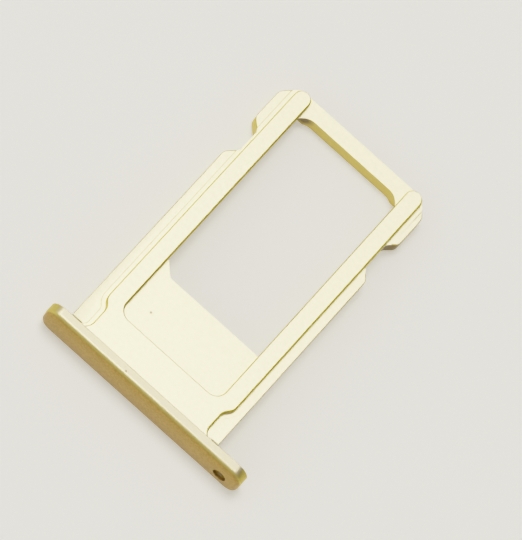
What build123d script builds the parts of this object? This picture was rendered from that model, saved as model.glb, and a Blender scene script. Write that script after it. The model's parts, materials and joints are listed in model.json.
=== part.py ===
from build123d import *

import os
from math import acos, cos, degrees, radians, sin, sqrt

# One-piece tray for a nano-size SIM card, milled from a single block. Sizes are in millimetres.
# While it is being built, x runs across the tray, y runs from the back of the end plate into the phone,
# and z rises from the face that the card goes in by. At the end the tray is set down on its lowest point.

# The card, and the play it has in its pocket
card_length = 12.3
card_width = 8.8
card_corner_cut = 1.65
card_corner_radius = 0.8
card_cut_radius = 0.2
card_end_play = 0.08
card_side_play = 0.1
pocket_depth = 0.75

# Body levels
body_thickness = 1.40
relief_depth = 0.38

# Rails, with the window between them
window_width = 7.16
rail_width = 1.04
rail_tip_setback = 0.05

# Neck behind the plate, which flares into the plate and swells out into the rails
neck_width = 8.44
flare_radius = 0.65
flare_angle = 60.0
swell_start = 1.44
swell_radius = 0.68

# Shelf, the relieved floor between the neck and the window
shelf_start = 1.97
shelf_length = 3.60
shelf_corner_radius = 0.70

# Flanges, notches and lugs. The two sides differ, so the tray goes into its slot one way round only.
left_flange_width = 0.74
right_flange_width = 0.56
left_flange_length = 13.28
right_flange_length = 13.14
left_notch_step = 0.12
right_notch_step = 0.03
lug_start = 16.03
lug_corner_cut = 0.88
flange_corner_radius = 0.40
notch_corner_radius = 0.30
lug_near_radius = 0.45
lug_far_radius = 0.70

# Far bar, whose inner face stands clear of the card's end and curves over the card's corners to the rails
bar_width = 0.93
bar_relief = 0.15
bar_corner_radius = 1.0
bar_corner_angle = 60.0

# End plate, with a pin hole near its right-hand end
plate_length = 14.05
plate_height = 2.35
plate_thickness = 0.69
plate_crown = 0.11
plate_offset = 0.49
plate_rise = 0.12
plate_corner_radius = 0.75
plate_edge_radius = 0.35
plate_back_break = 0.03
pin_hole_diameter = 0.85
pin_hole_inset = 1.22

# Low step that the last pass leaves along the outer walls' foot, the cove at the plate, and the edge break
step_height = 0.02
step_width = 0.24
cove_radius = 0.35
cove_reach = 0.28
edge_break = 0.05

# How far the body is rooted in the plate, how far cuts run past what they cut, and what counts as touching
body_root = 0.20
cut_margin = 1.0
touch = 0.001

# Sizes that follow from the ones above
floor_level = body_thickness - relief_depth
rail_inner = window_width / 2
rail_outer = rail_inner + rail_width
neck_side = neck_width / 2
left_side = rail_outer + left_flange_width
right_side = rail_outer + right_flange_width
pocket_start = shelf_start + shelf_length
pocket_end = pocket_start + card_length + card_end_play
bar_inner = pocket_end + bar_relief
bar_outer = bar_inner + bar_width
window_far = bar_inner - bar_corner_radius * (1 - cos(radians(bar_corner_angle)))
rail_end = bar_outer - rail_tip_setback
plate_top = body_thickness + plate_rise
plate_middle = plate_top - plate_height / 2
plate_bottom = plate_top - plate_height
plate_front = -(plate_thickness + plate_crown)
pin_hole_x = plate_offset + plate_length / 2 - pin_hole_inset


def half_outline(side, flange_length, notch_step):
    """Outline of the body on one side of the middle: flange, notch, lug and half of the far bar."""
    notch_wall = rail_outer + notch_step
    notch_depth = side - notch_wall
    with BuildSketch() as outline:
        with BuildLine():
            edge = FilletPolyline(
                (side, -body_root),
                (side, flange_length),
                (notch_wall, flange_length + notch_depth),
                (notch_wall, lug_start - notch_depth),
                (side, lug_start),
                (side, bar_outer - lug_corner_cut),
                (side - lug_corner_cut, bar_outer),
                (0, bar_outer),
                radius=[
                    flange_corner_radius,
                    notch_corner_radius,
                    notch_corner_radius,
                    lug_near_radius,
                    lug_far_radius,
                    lug_far_radius,
                ],
            )
            Polyline(edge @ 1, (0, -body_root), edge @ 0)
        make_face()
    return outline.sketch


def half_raised():
    """Outline of what stands above the relief on one side: half of the neck, and a rail."""
    swell_angle = degrees(acos(1 - (rail_outer - neck_side) / (2 * swell_radius)))
    flare_height = flare_radius * sin(radians(flare_angle))
    tip_radius = rail_width / 2
    with BuildSketch() as outline:
        with BuildLine():
            neck = Line((neck_side, flare_height), (neck_side, swell_start))
            flare = JernArc(neck @ 0, (0, -1), flare_radius, flare_angle)
            root = PolarLine(flare @ 1, body_root / cos(radians(flare_angle)), direction=flare % 1)
            out = JernArc(neck @ 1, (0, 1), swell_radius, -swell_angle)
            back = JernArc(out @ 1, out % 1, swell_radius, swell_angle)
            rail = Line(back @ 1, (rail_outer, rail_end - tip_radius))
            tip = JernArc(rail @ 1, (0, 1), tip_radius, 180)
            inner = Line(tip @ 1, (rail_inner, shelf_start + shelf_corner_radius))
            corner = JernArc(inner @ 1, (0, -1), shelf_corner_radius, -90)
            Polyline(corner @ 1, (0, shelf_start), (0, -body_root), root @ 1)
        make_face()
    return outline.sketch


def clear_of_root(edges):
    """The edges that don't lie on the body's root, which is buried in the plate."""
    return [edge for edge in edges if edge.center().Y > touch - body_root]


def relief_block(area, island, level):
    """Everything above one level of the relief over an area, around an island that is left standing."""
    with BuildSketch(Plane.XY.offset(level)) as plan:
        add(area)
        add(island, mode=Mode.SUBTRACT)
    return extrude(plan.sketch, body_thickness - level + cut_margin)


def relief_cutter(raised):
    """The relief around the raised outline, with a low sloped step along the foot of its outer walls."""
    half_width = max(left_side, right_side) + cut_margin
    far = bar_outer + cut_margin
    around = Pos(0, (far - body_root) / 2) * Rectangle(2 * half_width, far + body_root)
    between = Pos(0, (far + shelf_start) / 2) * Rectangle(window_width, far - shelf_start)
    block = relief_block(around, offset(raised + between, step_width), floor_level)
    foot = [
        edge
        for edge in clear_of_root(block.faces().sort_by(Axis.Z)[0].edges())
        if abs(edge.center().X) < half_width - touch and edge.center().Y < far - touch
    ]
    block = chamfer(foot, step_height) + relief_block(around, raised, floor_level + step_height)
    return block + relief_block(between, raised, floor_level)


def card_outline():
    """Outline of the card's pocket, with the cut corner that lets the card in one way round only."""
    half_width = (card_width + card_side_play) / 2
    with BuildSketch() as outline:
        with BuildLine():
            FilletPolyline(
                (half_width, pocket_start),
                (half_width, pocket_end),
                (-half_width, pocket_end),
                (-half_width, pocket_start + card_corner_cut),
                (-half_width + card_corner_cut, pocket_start),
                radius=[card_corner_radius] * 3 + [card_cut_radius] * 2,
                close=True,
            )
        make_face()
    return outline.sketch


def bar_recess():
    """Far part of the window, up to the bar, with its curved corners."""
    with BuildSketch() as outline:
        with BuildLine():
            straight = rail_inner - bar_corner_radius * sin(radians(bar_corner_angle))
            far = Line((-straight, bar_inner), (straight, bar_inner))
            right = JernArc(far @ 1, (1, 0), bar_corner_radius, -bar_corner_angle)
            left = JernArc(far @ 0, (-1, 0), bar_corner_radius, bar_corner_angle)
            Line(left @ 1, right @ 1)
        make_face()
    return outline.sketch


def window_outline(card):
    """Outline of the window: between the rails past the card's cut corner, then the curved far part."""
    with BuildSketch() as outline:
        with Locations((0, (pocket_start + window_far) / 2)):
            Rectangle(window_width, window_far - pocket_start)
        add(card, mode=Mode.INTERSECT)
        add(bar_recess())
    return outline.sketch


def cove():
    """Concave rise from the flange floor to the back of the plate."""
    rise = cove_radius - sqrt(cove_radius**2 - cove_reach**2)
    with BuildSketch(Plane.YZ.offset(-left_side)) as profile:
        with BuildLine():
            arc = RadiusArc((cove_reach, floor_level), (0, floor_level + rise), cove_radius)
            Polyline(
                arc @ 1,
                (-body_root, floor_level + rise),
                (-body_root, edge_break),
                (cove_reach, edge_break),
                arc @ 0,
            )
        make_face()
    return extrude(profile.sketch, left_side + right_side)


def end_plate():
    """Plate with round corners, a crowned face, a rounded front edge and the pin hole."""
    crown_radius = ((plate_height / 2) ** 2 + plate_crown**2) / (2 * plate_crown)
    with BuildPart() as plate:
        with BuildSketch(Plane.XZ):
            with Locations((plate_offset, plate_middle)):
                RectangleRounded(plate_length, plate_height, plate_corner_radius)
        extrude(amount=-plate_front)
        with BuildSketch(Plane.YZ.offset(plate_offset - plate_length)):
            with Locations((plate_front + crown_radius, plate_middle)):
                Circle(crown_radius)
        extrude(amount=2 * plate_length, mode=Mode.INTERSECT)
        face = plate.faces().filter_by(GeomType.CYLINDER).sort_by(Axis.Y)[0]
        fillet(face.edges(), plate_edge_radius)
        chamfer(plate.faces().sort_by(Axis.Y)[-1].edges(), plate_back_break)
        with BuildSketch(Plane.XZ):
            with Locations((pin_hole_x, plate_middle)):
                Circle(pin_hole_diameter / 2)
        extrude(amount=-plate_front + cut_margin, both=True, mode=Mode.SUBTRACT)
    return plate.part


def build_tray():
    """The whole tray, in the frame that the sizes are given in."""
    right = half_outline(right_side, right_flange_length, right_notch_step)
    left = mirror(half_outline(left_side, left_flange_length, left_notch_step), about=Plane.YZ)
    raised = half_raised()
    raised += mirror(raised, about=Plane.YZ)
    body = extrude(right + left, body_thickness)
    body = chamfer(clear_of_root(body.faces().sort_by(Axis.Z)[0].edges()), edge_break)
    body -= relief_cutter(raised)
    body = chamfer(clear_of_root(body.faces().sort_by(Axis.Z)[-1].edges()), edge_break)
    card = card_outline()
    body += cove()
    body -= extrude(card, pocket_depth)
    body -= extrude(window_outline(card), body_thickness)
    return body + end_plate()


tray = build_tray()
middle = tray.bounding_box().center()
sim_tray = Pos(-middle.X, -middle.Y, -plate_bottom) * tray

os.makedirs("parts", exist_ok=True)
export_step(sim_tray, "parts/sim_tray.step")
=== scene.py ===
import json
import math

import bmesh
import bpy
from mathutils import Matrix, Vector


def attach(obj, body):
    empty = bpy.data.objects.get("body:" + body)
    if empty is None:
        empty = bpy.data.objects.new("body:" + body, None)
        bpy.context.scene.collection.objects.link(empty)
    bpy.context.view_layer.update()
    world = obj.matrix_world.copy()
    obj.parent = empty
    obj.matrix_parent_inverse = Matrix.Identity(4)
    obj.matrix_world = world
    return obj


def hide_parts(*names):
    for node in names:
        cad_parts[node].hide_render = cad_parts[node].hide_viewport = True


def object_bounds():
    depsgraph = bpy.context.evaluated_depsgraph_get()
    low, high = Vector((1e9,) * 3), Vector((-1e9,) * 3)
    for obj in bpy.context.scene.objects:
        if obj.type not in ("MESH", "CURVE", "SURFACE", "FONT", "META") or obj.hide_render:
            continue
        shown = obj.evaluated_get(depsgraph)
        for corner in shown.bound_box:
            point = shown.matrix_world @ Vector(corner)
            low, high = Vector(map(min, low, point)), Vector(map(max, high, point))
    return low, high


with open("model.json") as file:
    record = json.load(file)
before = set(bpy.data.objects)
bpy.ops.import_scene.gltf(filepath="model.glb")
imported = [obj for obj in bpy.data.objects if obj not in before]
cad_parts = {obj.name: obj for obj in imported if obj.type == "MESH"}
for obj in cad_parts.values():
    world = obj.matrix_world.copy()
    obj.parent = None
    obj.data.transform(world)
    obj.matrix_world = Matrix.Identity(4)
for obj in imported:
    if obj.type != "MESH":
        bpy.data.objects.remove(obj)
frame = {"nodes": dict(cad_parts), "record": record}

# The tray's box and the faces it is set up by. Sizes and places are in millimetres, angles in degrees.
MM = 0.001
cad_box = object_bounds()
mounts = {mount["name"]: [part / MM for part in mount["pos_m"]] for mount in frame["record"]["mounts"]}
PLATE_FRONT = cad_box[0][1] / MM
PLATE_BACK = mounts["plate_back"][1]
BODY_END = cad_box[1][1] / MM
BODY_MIDDLE, _, UNDERSIDE = mounts["underside"]

# Levels of the raised faces and of the relieved ones, and what counts as on a level
BODY_THICKNESS = 1.40
RELIEF_DEPTH = 0.38
TOP_LEVEL = UNDERSIDE + BODY_THICKNESS
RELIEF_LEVEL = TOP_LEVEL - RELIEF_DEPTH
ON_LEVEL = 0.002

# Breaks along the edges of the body and of the plate's back
EDGE_BREAK = 0.05
PLATE_BREAK = 0.03

# The tray lies on the lower edge of its plate and on its far bar: how far along each is, and how high
REST_NEAR = (PLATE_BACK - PLATE_BREAK, 0.0)
REST_FAR = (BODY_END - EDGE_BREAK, UNDERSIDE)

# Cleaning up the mesh: what counts as one point, as one flat face and as a sharp edge
SAME_POINT = 0.0001
SAME_FACE = 0.3
SHARP_EDGE = 38.0

# How far up an edge break looks, and how much wider the raised faces' breaks are on the right
BREAK_TILT = (0.5, 0.9)
BREAK_WIDER = 0.04

# Rounding of the relieved faces' outer edges: its size, its steps, how sharp an edge it takes,
# and where the faces are wide enough for it
EDGE_ROUND = 0.05
ROUND_STEPS = 2
ROUND_FROM = 70.0
FLANGE_START = 4.85
BAR_START = 9.7

# Which faces count as level, and how nearly a face beside one has to look the same way to blend into it
FLAT_ENOUGH = 0.999
BLEND_LIMIT = 0.75

# Colours of the metal, each in the two shades of its mottle. The pale is the lit copy of one gold, and the
# deeper wall, edge and plate colours are its painted shade, set by which way a face looks
PALE = ((0.765, 0.685, 0.412, 1), (0.855, 0.765, 0.468, 1))
PLATE_STRIP = ((0.540, 0.466, 0.292, 1), (0.600, 0.519, 0.326, 1))
EDGE = ((0.58, 0.47, 0.025, 1), (0.62, 0.50, 0.035, 1))
PLATE_EDGE = ((0.58, 0.46, 0.105, 1), (0.62, 0.49, 0.115, 1))
WALL = ((0.60, 0.475, 0.105, 1), (0.66, 0.52, 0.12, 1))
PLATE_FACE = ((0.35, 0.225, 0.055, 1), (0.45, 0.292, 0.083, 1))

# Where one colour gives way to the next, which paints shade and light by which way a face looks: by how
# level a face is, by how far it looks to the far end, and by its place on the plate
WALL_TO_EDGE = (0.2, 0.6)
EDGE_TO_FLAT = (0.86, 1.0)
LOOKS_FAR = (0.45, 0.65)
PLATE_BLEND = 0.02
FACE_STARTS = 0.225
FACE_FULL = 0.145
ON_PLATE = (PLATE_BACK * MM, (PLATE_BACK - PLATE_BLEND) * MM)
ON_PLATE_FACE = ((PLATE_FRONT + FACE_STARTS) * MM, (PLATE_FRONT + FACE_FULL) * MM)

# Grain of the finish: how fine each noise is, how much detail it has, and what the noises drive
MOTTLE = 4000.0
FINE_MOTTLE = 8000.0
GRAIN = 22000.0
MOTTLE_DETAIL = 3.0
GRAIN_DETAIL = 2.0
MOTTLE_RANGE = (0.3, 0.7)
FINE_RANGE = (0.35, 0.65)
ROUGHNESS = (0.43, 0.47)
GRAIN_STRENGTH = 0.25
GRAIN_HEIGHT = 0.006

# Two small dark specks of dirt, and painted shade as dark spots on two of the walls where shadow falls:
# where each is, and how big. Then their colours, the share of a spot that is its core, and how strong it is
# there
SPECKS = (((-2.808, -5.792, 1.85), 0.09), ((-1.656, -9.470, 2.35), 0.08))
# Painted shade: two dark spots on walls that lie in shadow
PAINTED_SHADE_SPOTS = (((4.41, 6.635, 1.34), 0.95), ((-3.79, 8.735, 1.50), 0.70))
SPECK_COLOUR = (0.16, 0.10, 0.05, 1)
PAINTED_SHADE_COLOUR = (0.10, 0.065, 0.028, 1)
SPOT_CORE = 0.4
SPOT_STRENGTH = 0.85

# The table: how far it reaches, its two shades with their fineness, its own soft glow, and its sheen
TABLE_REACH = 400.0
TABLE_SHADES = ((0.720, 0.691, 0.607, 1), (0.731, 0.702, 0.617, 1))
TABLE_CLOUD = 120.0
TABLE_GLOW = (0.470, 0.452, 0.400, 1)
TABLE_ROUGHNESS = 0.85
TABLE_SHEEN = 0.1

# The camera: where it looks from, where it aims, how far its picture is turned, its lens and its range
VIEW_AZIMUTH = 2.896
VIEW_ELEVATION = 67.543
VIEW_ROLL = 39.253
VIEW_DISTANCE = 380.0
VIEW_AIM = (0.042, 0.1945, 2.23)
LENS = 466.67
SENSOR = 36.0
VIEW_RANGE = (10.0, 10000.0)

# The room's light: its level, how it grows along x, y and z, and the least that there is at the horizon
ROOM_LEVEL = 1.30
ROOM_SLOPE = (-0.70, -0.48, -0.90)
ROOM_FILL = 0.75

# The bright patch overhead: which way it lies, how bright its middle is, and how far out it ends
PATCH_WAY = (-0.12, 0.13, 0.984)
PATCH_LEVEL = 25.5
PATCH_EDGE = 16.0

# The brightest light that the picture's tones take in, the steps that draw their curve, and which curve
# serves all colours together
TONE_RANGE = 5.0
TONE_STEPS = 16
ALL_COLOURS = 3


class Nodes:
    """A short way to add nodes to a tree and join them up."""

    # Which of the mix node's sockets hold its two colours and their mix
    FIRST_COLOUR, SECOND_COLOUR, MIXED_COLOUR = 6, 7, 2

    def __init__(self, tree):
        self.tree = tree
        tree.nodes.clear()

    def add(self, kind, **settings):
        node = self.tree.nodes.new(kind)
        for name, value in settings.items():
            setattr(node, name, value)
        return node

    def feed(self, value, socket):
        """Join a node's output to a socket, or set the socket to a plain value."""
        if isinstance(value, bpy.types.NodeSocket):
            self.tree.links.new(value, socket)
        else:
            socket.default_value = value

    def parts(self, vector):
        """A vector's x, y and z."""
        node = self.add("ShaderNodeSeparateXYZ")
        self.feed(vector, node.inputs["Vector"])
        return node.outputs

    def sum(self, operation, *values):
        """One operation on numbers."""
        node = self.add("ShaderNodeMath", operation=operation)
        for value, socket in zip(values, node.inputs):
            self.feed(value, socket)
        return node.outputs["Value"]

    def measure(self, operation, vector, other):
        """One number from two vectors, such as their distance."""
        node = self.add("ShaderNodeVectorMath", operation=operation)
        self.feed(vector, node.inputs[0])
        self.feed(other, node.inputs[1])
        return node.outputs["Value"]

    def noise(self, place, scale, detail):
        node = self.add("ShaderNodeTexNoise")
        node.inputs["Scale"].default_value = scale
        node.inputs["Detail"].default_value = detail
        self.feed(place, node.inputs["Vector"])
        return node.outputs["Fac"]

    def spread(self, value, source, target=(0.0, 1.0), shape="LINEAR"):
        """A value's range from one pair of ends, spread to another pair."""
        node = self.add("ShaderNodeMapRange", interpolation_type=shape)
        for name, number in zip(("From Min", "From Max", "To Min", "To Max"), (*source, *target)):
            node.inputs[name].default_value = number
        self.feed(value, node.inputs["Value"])
        return node.outputs["Result"]

    def mix(self, share, first, second):
        """A mix of two colours, with a share of the second."""
        node = self.add("ShaderNodeMix", data_type="RGBA")
        self.feed(share, node.inputs["Factor"])
        self.feed(first, node.inputs[self.FIRST_COLOUR])
        self.feed(second, node.inputs[self.SECOND_COLOUR])
        return node.outputs[self.MIXED_COLOUR]

    def spots(self, place, spots, colour, mark):
        """A colour with marks on it, each given by its place and its size."""
        for spot, size in spots:
            away = self.measure("DISTANCE", place, [part * MM for part in spot])
            share = self.spread(away, (size * MM, SPOT_CORE * size * MM), (0.0, SPOT_STRENGTH))
            colour = self.mix(share, colour, mark)
        return colour


def new_material(name):
    """A material with its nodes, its shader and its object coordinates."""
    material = bpy.data.materials.new(name)
    material.use_nodes = True
    nodes = Nodes(material.node_tree)
    shader = nodes.add("ShaderNodeBsdfPrincipled")
    out = nodes.add("ShaderNodeOutputMaterial")
    nodes.feed(shader.outputs["BSDF"], out.inputs["Surface"])
    return material, nodes, shader, nodes.add("ShaderNodeTexCoord").outputs


def colour_with_painted_shade(nodes, where, mottle):
    """Pale on the level faces, with painted shade as deeper gold on the walls and edges, a darker strip
    along the plate's top and a browner face on the plate, and painted light as pale on faces that look to
    the far end; also small dark specks of dirt and two dark spots of painted shade on walls.
    """
    place = where["Object"]
    facing = nodes.parts(where["Normal"])
    along = nodes.parts(place)["Y"]
    flat = nodes.sum("ABSOLUTE", facing["Z"])
    on_plate = nodes.spread(along, ON_PLATE)

    shade = nodes.spread(mottle, MOTTLE_RANGE)
    pale = nodes.mix(shade, *PALE)
    # Painted shade: the walls in a deeper gold, with two dark spots where shadow falls
    wall = nodes.spots(place, PAINTED_SHADE_SPOTS, nodes.mix(shade, *WALL), PAINTED_SHADE_COLOUR)
    # Painted shade: the edge breaks and the plate's rounded edge in a darker, deeper gold
    edge = nodes.mix(on_plate, nodes.mix(shade, *EDGE), nodes.mix(shade, *PLATE_EDGE))
    # Painted shade: the plate's level strip a little darker than the other level faces
    level = nodes.mix(on_plate, pale, nodes.mix(shade, *PLATE_STRIP))
    fine_shade = nodes.spread(nodes.noise(place, FINE_MOTTLE, MOTTLE_DETAIL), FINE_RANGE)
    plate_face = nodes.mix(fine_shade, *PLATE_FACE)

    # Painted shade: deeper gold on the walls and edges, the pale gold on the level faces as the lit copy
    colour = nodes.mix(nodes.spread(flat, WALL_TO_EDGE), wall, edge)
    colour = nodes.mix(nodes.spread(flat, EDGE_TO_FLAT), colour, level)
    # Painted light: faces that look to the far end are painted pale
    colour = nodes.mix(nodes.spread(facing["Y"], LOOKS_FAR), colour, pale)
    colour = nodes.spots(place, SPECKS, colour, SPECK_COLOUR)
    # Painted shade: the plate's face in a darker brown
    return nodes.mix(nodes.spread(along, ON_PLATE_FACE), colour, plate_face)


def anodised_aluminium():
    """Bead-blasted aluminium, anodised pale gold, with a faint mottle and a fine grain, and shade and light
    painted into its colour by which way each face looks.
    """
    material, nodes, shader, where = new_material("anodised_aluminium")
    shader.inputs["Metallic"].default_value = 1.0
    mottle = nodes.noise(where["Object"], MOTTLE, MOTTLE_DETAIL)
    nodes.feed(colour_with_painted_shade(nodes, where, mottle), shader.inputs["Base Color"])
    nodes.feed(nodes.spread(mottle, MOTTLE_RANGE, ROUGHNESS), shader.inputs["Roughness"])
    bump = nodes.add("ShaderNodeBump")
    bump.inputs["Strength"].default_value = GRAIN_STRENGTH
    bump.inputs["Distance"].default_value = GRAIN_HEIGHT * MM
    nodes.feed(nodes.noise(where["Object"], GRAIN, GRAIN_DETAIL), bump.inputs["Height"])
    nodes.feed(bump.outputs["Normal"], shader.inputs["Normal"])
    return material


def table_top():
    """A plain pale table that glows a little, so that shadows on it stay faint."""
    material, nodes, shader, where = new_material("table_top")
    shader.inputs["Roughness"].default_value = TABLE_ROUGHNESS
    shader.inputs["Specular IOR Level"].default_value = TABLE_SHEEN
    shader.inputs["Emission Color"].default_value = TABLE_GLOW
    shader.inputs["Emission Strength"].default_value = 1.0
    cloud = nodes.noise(where["Object"], TABLE_CLOUD, MOTTLE_DETAIL)
    nodes.feed(nodes.mix(nodes.spread(cloud, MOTTLE_RANGE), *TABLE_SHADES), shader.inputs["Base Color"])
    return material


def widen_right_breaks(work):
    """Widen the edge breaks along the raised faces where they look to the tray's right."""
    shifts = []
    for corner in work.verts:
        upper = abs(corner.co.z / MM - TOP_LEVEL) < ON_LEVEL
        lower = abs(corner.co.z / MM - TOP_LEVEL + EDGE_BREAK) < ON_LEVEL
        breaks = [face.normal for face in corner.link_faces if BREAK_TILT[0] < face.normal.z < BREAK_TILT[1]]
        if breaks and (upper or lower):
            way = sum(breaks, Vector())
            way.z = 0
            right = max(way.normalized().x, 0) * BREAK_WIDER * MM
            shifts.append((corner, Vector((-right, 0, 0)) if upper else Vector((0, 0, -right))))
    for corner, shift in shifts:
        corner.co += shift


def round_relief_edges(work):
    """Round the sharp outer edges of the relieved faces a little, where the faces are wide enough for it."""
    edges = []
    for edge in work.edges:
        middle = (edge.verts[0].co + edge.verts[1].co) / (2 * MM)
        level = all(abs(corner.co.z / MM - RELIEF_LEVEL) < ON_LEVEL for corner in edge.verts)
        wide = abs(middle.x - BODY_MIDDLE) > FLANGE_START or middle.y > BAR_START
        if level and wide and edge.calc_face_angle_signed(0.0) > math.radians(ROUND_FROM):
            edges.append(edge)
    bmesh.ops.bevel(
        work,
        geom=edges,
        offset=EDGE_ROUND * MM,
        segments=ROUND_STEPS,
        profile=0.5,
        affect="EDGES",
        clamp_overlap=False,
    )


def hold_flat_faces(mesh):
    """Shade the level faces flat up to their borders, and blend the rounded edges beside them into them."""
    shades = [corner.vector.copy() for corner in mesh.corner_normals]
    beside = {}
    for face in mesh.polygons:
        if abs(face.normal.z) > FLAT_ENOUGH:
            for corner in face.vertices:
                beside.setdefault(corner, []).append(face.normal.copy())
    for face in mesh.polygons:
        for corner, loop in zip(face.vertices, face.loop_indices):
            for normal in beside.get(corner, []):
                if face.normal.dot(normal) > BLEND_LIMIT:
                    shades[loop] = normal
    mesh.normals_split_custom_set(shades)


def finished_tray(material):
    """The tray, with its flat faces made whole, its edges finished and its metal on."""
    work = bmesh.new()
    work.from_mesh(frame["nodes"]["sim_tray"].data)
    bmesh.ops.remove_doubles(work, verts=work.verts, dist=SAME_POINT * MM)
    bmesh.ops.dissolve_limit(
        work,
        angle_limit=math.radians(SAME_FACE),
        use_dissolve_boundaries=False,
        verts=work.verts,
        edges=work.edges,
    )
    widen_right_breaks(work)
    round_relief_edges(work)
    work.normal_update()
    for face in work.faces:
        face.smooth = True
        face.material_index = 0
    for edge in work.edges:
        edge.smooth = edge.calc_face_angle(0.0) < math.radians(SHARP_EDGE)
    mesh = bpy.data.meshes.new("tray")
    work.to_mesh(mesh)
    work.free()
    hold_flat_faces(mesh)
    mesh.materials.append(material)
    tray = bpy.data.objects.new("tray", mesh)
    bpy.context.scene.collection.objects.link(tray)
    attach(tray, "root")
    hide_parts("sim_tray")


def table():
    """The table, sloped under the tray as the two places where the tray rests make it."""
    slope = math.atan2(REST_FAR[1] - REST_NEAR[1], REST_FAR[0] - REST_NEAR[0])
    turn = Matrix.Translation((0, REST_NEAR[0] * MM, REST_NEAR[1] * MM)) @ Matrix.Rotation(slope, 4, "X")
    reach = TABLE_REACH * MM
    corners = [(-reach, -reach, 0), (reach, -reach, 0), (reach, reach, 0), (-reach, reach, 0)]
    mesh = bpy.data.meshes.new("table")
    mesh.from_pydata([turn @ Vector(corner) for corner in corners], [], [(0, 1, 2, 3)])
    mesh.materials.append(table_top())
    top = bpy.data.objects.new("table", mesh)
    bpy.context.scene.collection.objects.link(top)


def camera():
    """The camera, looking down on the tray from its plate's side."""
    around, up, roll = (math.radians(angle) for angle in (VIEW_AZIMUTH, VIEW_ELEVATION, VIEW_ROLL))
    back = Vector((math.sin(around) * math.cos(up), -math.cos(around) * math.cos(up), math.sin(up)))
    side = Vector((0, 0, 1)).cross(back).normalized()
    above = back.cross(side)
    right = math.cos(roll) * side + math.sin(roll) * above
    top = back.cross(right)
    data = bpy.data.cameras.new("camera")
    data.lens = LENS
    data.sensor_width = SENSOR
    data.clip_start, data.clip_end = (end * MM for end in VIEW_RANGE)
    eye = bpy.data.objects.new("camera", data)
    bpy.context.scene.collection.objects.link(eye)
    turn = Matrix((right, top, back)).transposed().to_4x4()
    eye.matrix_world = Matrix.Translation((Vector(VIEW_AIM) + back * VIEW_DISTANCE) * MM) @ turn
    bpy.context.scene.camera = eye


def room_light():
    """A soft room, brighter low down and to the tray's left and front, with one bright patch overhead."""
    world = bpy.data.worlds.new("room")
    bpy.context.scene.world = world
    world.use_nodes = True
    nodes = Nodes(world.node_tree)
    way = nodes.add("ShaderNodeTexCoord").outputs["Generated"]
    room = nodes.sum("ADD", nodes.measure("DOT_PRODUCT", way, ROOM_SLOPE), ROOM_LEVEL)
    height = nodes.sum("POWER", nodes.parts(way)["Z"], 2.0)
    room = nodes.sum("MAXIMUM", room, nodes.spread(height, (0.0, 1.0), (ROOM_FILL, 0.0)))
    towards = nodes.measure("DOT_PRODUCT", way, PATCH_WAY)
    reach = (math.cos(math.radians(PATCH_EDGE)), 1.0)
    patch = nodes.spread(towards, reach, (0.0, PATCH_LEVEL), "SMOOTHSTEP")
    glow = nodes.add("ShaderNodeBackground")
    nodes.feed(nodes.sum("ADD", room, patch), glow.inputs["Strength"])
    nodes.feed(glow.outputs["Background"], nodes.add("ShaderNodeOutputWorld").inputs["Surface"])


def develop():
    """The picture's tones: bright light is rolled off softly, as film does, and never clips."""
    view = bpy.context.scene.view_settings
    view.view_transform = "Standard"
    view.use_curve_mapping = True
    tones = view.curve_mapping
    tones.white_level = (TONE_RANGE, TONE_RANGE, TONE_RANGE)
    curve = tones.curves[ALL_COLOURS]
    for step in range(1, TONE_STEPS):
        share = (step / TONE_STEPS) ** 2
        curve.points.new(share, 1 - math.exp(-TONE_RANGE * share))
    curve.points[-1].location = (1, 1 - math.exp(-TONE_RANGE))
    tones.update()


finished_tray(anodised_aluminium())
table()
camera()
room_light()
develop()
